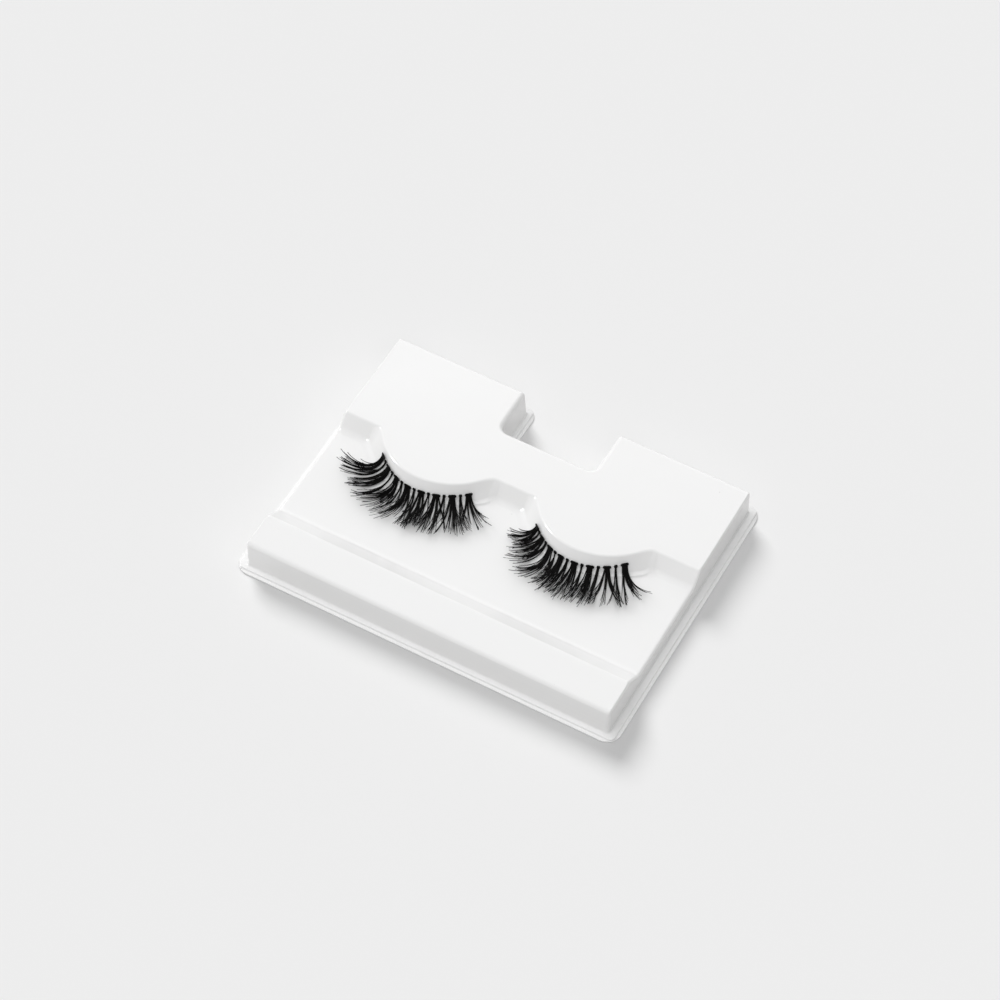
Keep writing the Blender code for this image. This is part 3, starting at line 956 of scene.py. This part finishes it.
def makeHairTree():
    tree = bpy.data.node_groups.new("lash hairs", "GeometryNodeTree")
    tree.is_modifier = True
    face = tree.interface
    face.new_socket("Geometry", in_out="INPUT", socket_type="NodeSocketGeometry")
    for label, kind, value in (
        ("Points", "NodeSocketInt", lash["hairPoints"]), ("Sides", "NodeSocketInt", lash["hairSides"]),
        ("Fall Run", "NodeSocketFloat", lash["fallRun"]), ("Wave", "NodeSocketFloat", lash["wave"]),
        ("Tip Share", "NodeSocketFloat", lash["tipShare"]), ("Seed", "NodeSocketInt", 0),
        ("Material", "NodeSocketMaterial", None),
    ):
        socket = face.new_socket(label, in_out="INPUT", socket_type=kind)
        if value is not None:
            socket.default_value = value
    face.new_socket("Geometry", in_out="OUTPUT", socket_type="NodeSocketGeometry")
    source = place(tree, "NodeGroupInput", -12)
    target = place(tree, "NodeGroupOutput", 16)

    def named(label, y):
        node = place(tree, "GeometryNodeInputNamedAttribute", -6, y, data_type="FLOAT")
        node.inputs["Name"].default_value = label
        return node.outputs["Attribute"]

    # every point keeps its own place and a random phase, then carries a straight strand
    keep = place(tree, "GeometryNodeStoreNamedAttribute", -9, 1, data_type="FLOAT_VECTOR", domain="POINT")
    keep.inputs["Name"].default_value = "root"
    wire(tree, source.outputs["Geometry"], keep.inputs["Geometry"])
    wire(tree, place(tree, "GeometryNodeInputPosition", -11, 2).outputs[0], keep.inputs["Value"])
    phase = place(tree, "FunctionNodeRandomValue", -10, 4, data_type="FLOAT")
    phase.inputs[3].default_value = 2 * math.pi
    wire(tree, source.outputs["Seed"], phase.inputs["Seed"])
    keepPhase = place(tree, "GeometryNodeStoreNamedAttribute", -8, 1, data_type="FLOAT", domain="POINT")
    keepPhase.inputs["Name"].default_value = "phase"
    wire(tree, keep.outputs[0], keepPhase.inputs["Geometry"])
    wire(tree, phase.outputs[1], keepPhase.inputs["Value"])
    strand = place(tree, "GeometryNodeCurvePrimitiveLine", -9, -2)
    strand.inputs["End"].default_value = (0.0, 0.0, mm)
    steps = place(tree, "GeometryNodeResampleCurve", -8, -2)
    wire(tree, strand.outputs[0], steps.inputs["Curve"])
    wire(tree, source.outputs["Points"], steps.inputs["Count"])
    scatter = place(tree, "GeometryNodeInstanceOnPoints", -7, 0)
    wire(tree, keepPhase.outputs[0], scatter.inputs["Points"])
    wire(tree, steps.outputs[0], scatter.inputs["Instance"])
    real = place(tree, "GeometryNodeRealizeInstances", -6, 0)
    wire(tree, scatter.outputs[0], real.inputs[0])

    # in plan: an arc whose heading turns on the way, drawn to its lock, with a slight wave
    t = place(tree, "GeometryNodeSplineParameter", -6, -2).outputs["Factor"]
    half = calc(tree, "MULTIPLY", calc(tree, "MULTIPLY", named("turn", 3), t, -4, 3), 0.5, -3, 3)
    now = calc(tree, "ADD", named("heading", 4), half, -2, 4)
    run = calc(tree, "MULTIPLY", named("reach", 5), t, -4, 5)
    drawn = calc(tree, "MULTIPLY", t, calc(tree, "SUBTRACT", 2.0, t, -4, 6), -3, 6)
    pull = calc(tree, "MULTIPLY", named("gather", 6), drawn, -2, 6)
    apart = calc(tree, "MULTIPLY", named("splay", 7), calc(tree, "MULTIPLY", t, t, -4, 7), -2, 7)
    swing = calc(tree, "SINE", calc(tree, "ADD", calc(tree, "MULTIPLY", t, lash["waveTurn"], -4, 8),
                                    named("phase", 8), -3, 8), None, -2, 8)
    sway = calc(tree, "MULTIPLY", calc(tree, "MULTIPLY", swing, t, -1, 8), source.outputs["Wave"], 0, 8)
    across = calc(tree, "ADD", calc(tree, "ADD", pull, apart, -1, 7), sway, 1, 7)
    cosine = calc(tree, "COSINE", now, None, -1, 4)
    sine = calc(tree, "SINE", now, None, -1, 5)
    x = calc(tree, "SUBTRACT", calc(tree, "MULTIPLY", cosine, run, 2, 4),
             calc(tree, "MULTIPLY", sine, across, 2, 5), 3, 4)
    y = calc(tree, "ADD", calc(tree, "MULTIPLY", sine, run, 2, 6),
             calc(tree, "MULTIPLY", cosine, across, 2, 7), 3, 6)

    # in height: a quick drop down the wall, then a slow curl up to the tip
    gone = calc(tree, "DIVIDE", run, source.outputs["Fall Run"], -4, -4)
    decay = calc(tree, "EXPONENT", calc(tree, "MULTIPLY", gone, -1.0, -3, -4), None, -2, -4)
    fallen = calc(tree, "SUBTRACT", 1.0, decay, -1, -4)
    down = calc(tree, "MULTIPLY", fallen, named("sink", -4), 0, -4)
    late = calc(tree, "MAXIMUM", calc(tree, "SUBTRACT", t, lash["curlFrom"], -3, -6), 0.0, -2, -6)
    curled = calc(tree, "DIVIDE", late, lash["curlRest"], -1, -6)
    curl = calc(tree, "POWER", curled, lash["curlPower"], 0, -6)
    up = calc(tree, "MULTIPLY", curl, named("lift", -6), 1, -6)
    z = calc(tree, "SUBTRACT", up, down, 3, -4)
    offset = place(tree, "ShaderNodeCombineXYZ", 4, 2)
    for k, value in enumerate((x, y, z)):
        wire(tree, value, offset.inputs[k])
    rootNode = place(tree, "GeometryNodeInputNamedAttribute", 3, 0, data_type="FLOAT_VECTOR")
    rootNode.inputs["Name"].default_value = "root"
    summed = place(tree, "ShaderNodeVectorMath", 5, 1, operation="ADD")
    wire(tree, rootNode.outputs["Attribute"], summed.inputs[0])
    wire(tree, offset.outputs[0], summed.inputs[1])
    bend = place(tree, "GeometryNodeSetPosition", 6, 0)
    wire(tree, real.outputs[0], bend.inputs["Geometry"])
    wire(tree, summed.outputs[0], bend.inputs["Position"])

    # full near the root, fine at the tip
    worn = calc(tree, "POWER", t, lash["taperPower"], 5, -3)
    thin = calc(tree, "SUBTRACT", 1.0, worn, 6, -3)
    taper = calc(tree, "MAXIMUM", thin, source.outputs["Tip Share"], 7, -3)
    size = calc(tree, "MULTIPLY", taper, named("thick", -8), 8, -3)
    ring = place(tree, "GeometryNodeCurvePrimitiveCircle", 6, -5)
    ring.inputs["Radius"].default_value = 1.0
    wire(tree, source.outputs["Sides"], ring.inputs["Resolution"])
    skin = place(tree, "GeometryNodeCurveToMesh", 10, 0)
    skin.inputs["Fill Caps"].default_value = True
    wire(tree, bend.outputs[0], skin.inputs["Curve"])
    wire(tree, ring.outputs[0], skin.inputs["Profile Curve"])
    wire(tree, size, skin.inputs["Scale"])
    smooth = place(tree, "GeometryNodeSetShadeSmooth", 12, 0)
    wire(tree, skin.outputs[0], smooth.inputs[0])
    whole = place(tree, "GeometryNodeRealizeInstances", 13, 0)
    wire(tree, smooth.outputs[0], whole.inputs[0])
    paint = place(tree, "GeometryNodeSetMaterial", 14, 0)
    wire(tree, whole.outputs[0], paint.inputs["Geometry"])
    wire(tree, source.outputs["Material"], paint.inputs["Material"])
    wire(tree, paint.outputs[0], target.inputs[0])
    return tree


def growFrom(piece, tree, values):
    # modifier inputs are set by identifier before the piece is evaluated
    own = [attribute.name for attribute in piece.data.attributes if attribute.data_type == "FLOAT"]
    grow = piece.modifiers.new("grow", "NODES")
    grow.node_group = tree
    for item in tree.interface.items_tree:
        if item.item_type == "SOCKET" and item.in_out == "INPUT" and item.name in values:
            grow[item.identifier] = values[item.name]
    bake(piece)
    for name in own + ["root", "phase"]:
        if name in piece.data.attributes:
            piece.data.attributes.remove(piece.data.attributes[name])
    return piece


def ringTube(path, radii, sides=8):
    # verts and faces of a closed tube; radii are (across, up) at each point
    verts = []
    faces = []
    path = np.array(path)
    for i, p in enumerate(path):
        ahead = path[min(i + 1, len(path) - 1)] - path[max(i - 1, 0)]
        heading = math.atan2(ahead[1], ahead[0])
        for k in range(sides):
            a = 2 * math.pi * (k + 0.5) / sides
            out = radii[i][0] * math.cos(a)
            verts.append((p[0] - math.sin(heading) * out, p[1] + math.cos(heading) * out,
                          p[2] + radii[i][1] * math.sin(a)))
    faces.append(list(range(sides)))
    for i in range(len(path) - 1):
        for k in range(sides):
            j = (k + 1) % sides
            faces.append([i * sides + k, i * sides + j, (i + 1) * sides + j, (i + 1) * sides + k])
    faces.append([(len(path) - 1) * sides + k for k in range(sides)][::-1])
    return verts, faces


def makeKnots(name, knots, seed):
    # flat black bars that hold the hairs on the band
    rng = np.random.default_rng(seed + lash["knotSeed"])
    verts = []
    faces = []
    for knot in knots:
        x, y, z = knot["at"]
        c = math.cos(knot["heading"])
        s = math.sin(knot["heading"])
        path = []
        radii = []
        for k in range(lash["knotSteps"] + 1):
            u = k / lash["knotSteps"] * 2 - 1
            fat = max(1 - abs(u)**lash["knotPower"], lash["knotEnd"]) ** 0.5
            fat *= rng.uniform(*stray["knotFat"])
            path.append((x + c * u * knot["wide"] / 2, y + s * u * knot["wide"] / 2, z + lash["knotRise"]))
            radii.append((lash["knotDepth"] / 2 * fat, lash["knotHeight"] / 2 * fat))
        v, f = ringTube(path, radii)
        base = len(verts)
        verts += v
        faces += [[base + i for i in face] for face in f]
    piece = meshPiece(name, verts, faces)
    piece.data.shade_smooth()
    piece.data.materials.append(fibreMaterial)
    return piece


def makeStrip(side):
    form = stripForm[side]
    hairs, knots, points = hairRoots(form)
    lashes = growFrom(pointCloud("lashHairs" + side, hairs), hairTree, {
        "Points": lash["hairPoints"], "Sides": lash["hairSides"], "Fall Run": lash["fallRun"],
        "Wave": lash["wave"], "Tip Share": lash["tipShare"], "Seed": form["seed"],
        "Material": fibreMaterial,
    })
    roots = makeKnots("lashRoots" + side, knots, form["seed"])
    path = points[::lash["bandEvery"]]
    verts, faces = ringTube(path, [(lash["bandWidth"] / 2, lash["bandWidth"] / 2)] * len(path))
    band = meshPiece("lashBand" + side, verts, faces)
    band.data.shade_smooth()
    band.data.materials.append(bandMaterial)
    print("strip", side, "made:", len(hairs), "hairs,", len(lashes.data.polygons), "faces")
    return lashes, roots, band


hairTree = makeHairTree()
strips = {side: makeStrip(side) for side in stripForm}


# The carried-over nodes get their materials and are hidden where a new piece takes their place; each new
# piece rides on the root body

for name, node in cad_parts.items():
    node.data.materials.clear()
    node.data.materials.append(trayMaterial if name == "tray" else fibreMaterial)

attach(trayShell, "root")
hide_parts("tray")
for side, (lashes, roots, band) in strips.items():
    for piece in (lashes, roots, band):
        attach(piece, "root")
    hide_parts("lash_strip_" + side.lower())


# Floor, light and camera

floorForm = {"size": 3.0, "tint": (0.84, 0.84, 0.84), "rough": 0.9}


def makeFloor():
    half = floorForm["size"] / 2
    mesh = bpy.data.meshes.new("floor")
    mesh.from_pydata([(-half, -half, 0), (half, -half, 0), (half, half, 0), (-half, half, 0)], [],
                     [(0, 1, 2, 3)])
    floor = bpy.data.objects.new("floor", mesh)
    bpy.context.scene.collection.objects.link(floor)
    mat = bpy.data.materials.new("pale floor")
    mat.use_nodes = True
    shader = mat.node_tree.nodes["Principled BSDF"]
    shader.inputs["Base Color"].default_value = (*floorForm["tint"], 1.0)
    shader.inputs["Roughness"].default_value = floorForm["rough"]
    shader.inputs["Specular IOR Level"].default_value = 0.0
    mesh.materials.append(mat)


# From is degrees round from the front by the right side, height is degrees above the floor, and
# spread is how many degrees wide the soft lamp looks. On names what a lamp lights: the floor has two
# of its own, which give the shadow its shape. Gives says whether a lamp shades, glints or does both.
studioLight = {
    "sky": 0.38,
    "lamps": [
        {"name": "left lamp", "from": 266, "height": 38, "strength": 0.88, "spread": 30,
         "on": "pieces", "gives": "shade"},
        {"name": "front lamp", "from": 330, "height": 44, "strength": 0.43, "spread": 50,
         "on": "pieces", "gives": "shade"},
        {"name": "back lamp", "from": 207, "height": 29, "strength": 0.75, "spread": 46,
         "on": "pieces", "gives": "both"},
        {"name": "top lamp", "from": 20, "height": 74, "strength": 0.97, "spread": 50,
         "on": "pieces", "gives": "shade"},
        {"name": "glint lamp", "from": 291, "height": 41, "strength": 1.9, "spread": 7,
         "on": "tray", "gives": "gloss"},
        {"name": "floor lamp", "from": 230, "height": 40, "strength": 2.13, "spread": 24,
         "on": "floor", "gives": "shade"},
        {"name": "shade lamp", "from": 45, "height": 65, "strength": 0.68, "spread": 70,
         "on": "floor", "gives": "shade"},
    ],
}


def makeLamp(form, receivers):
    data = bpy.data.lights.new(form["name"], "SUN")
    data.energy = form["strength"]
    data.angle = math.radians(form["spread"])
    lamp = bpy.data.objects.new(form["name"], data)
    lamp.rotation_euler = outwards(form["from"], form["height"]).to_track_quat("Z", "Y").to_euler()
    bpy.context.scene.collection.objects.link(lamp)
    lit = bpy.data.collections.new("lit by " + form["name"])
    for piece in receivers:
        lit.objects.link(piece)
    lamp.light_linking.receiver_collection = lit
    lamp.visible_glossy = form["gives"] != "shade"
    lamp.visible_diffuse = form["gives"] != "gloss"


def makeLight():
    world = bpy.data.worlds.new("studio")
    world.use_nodes = True
    back = world.node_tree.nodes["Background"]
    back.inputs["Color"].default_value = (1.0, 1.0, 1.0, 1.0)
    back.inputs["Strength"].default_value = studioLight["sky"]
    bpy.context.scene.world = world
    meshes = [piece for piece in bpy.context.scene.objects if piece.type == "MESH"]
    lit = {
        "floor": [piece for piece in meshes if piece.name == "floor"],
        "pieces": [piece for piece in meshes if piece.name != "floor"],
        "tray": [trayShell],
    }
    for form in studioLight["lamps"]:
        makeLamp(form, lit[form["on"]])
    bpy.context.scene.view_settings.view_transform = "Standard"


cameraForm = {
    "turn": 26.897469,          # degrees to the right of the front
    "height": 52.870050,
    "roll": 2.330949,
    "lens": 115.725,
    "sensor": 36.0,
    "place": (0.23492766, -0.46412496, 0.70507529),
}


def makeCamera():
    turn = math.radians(cameraForm["turn"])
    roll = math.radians(cameraForm["roll"])
    back = outwards(cameraForm["turn"], cameraForm["height"])
    levelRight = Vector((math.cos(turn), math.sin(turn), 0.0))
    levelUp = back.cross(levelRight)
    right = levelRight * math.cos(roll) + levelUp * math.sin(roll)
    up = levelUp * math.cos(roll) - levelRight * math.sin(roll)
    data = bpy.data.cameras.new("camera")
    data.lens = cameraForm["lens"]
    data.sensor_width = cameraForm["sensor"]
    camera = bpy.data.objects.new("camera", data)
    axes = Matrix((right, up, back)).transposed().to_4x4()
    camera.matrix_world = Matrix.Translation(cameraForm["place"]) @ axes
    bpy.context.scene.collection.objects.link(camera)
    bpy.context.scene.camera = camera


makeFloor()
makeLight()
makeCamera()
print("floor, light and camera made")
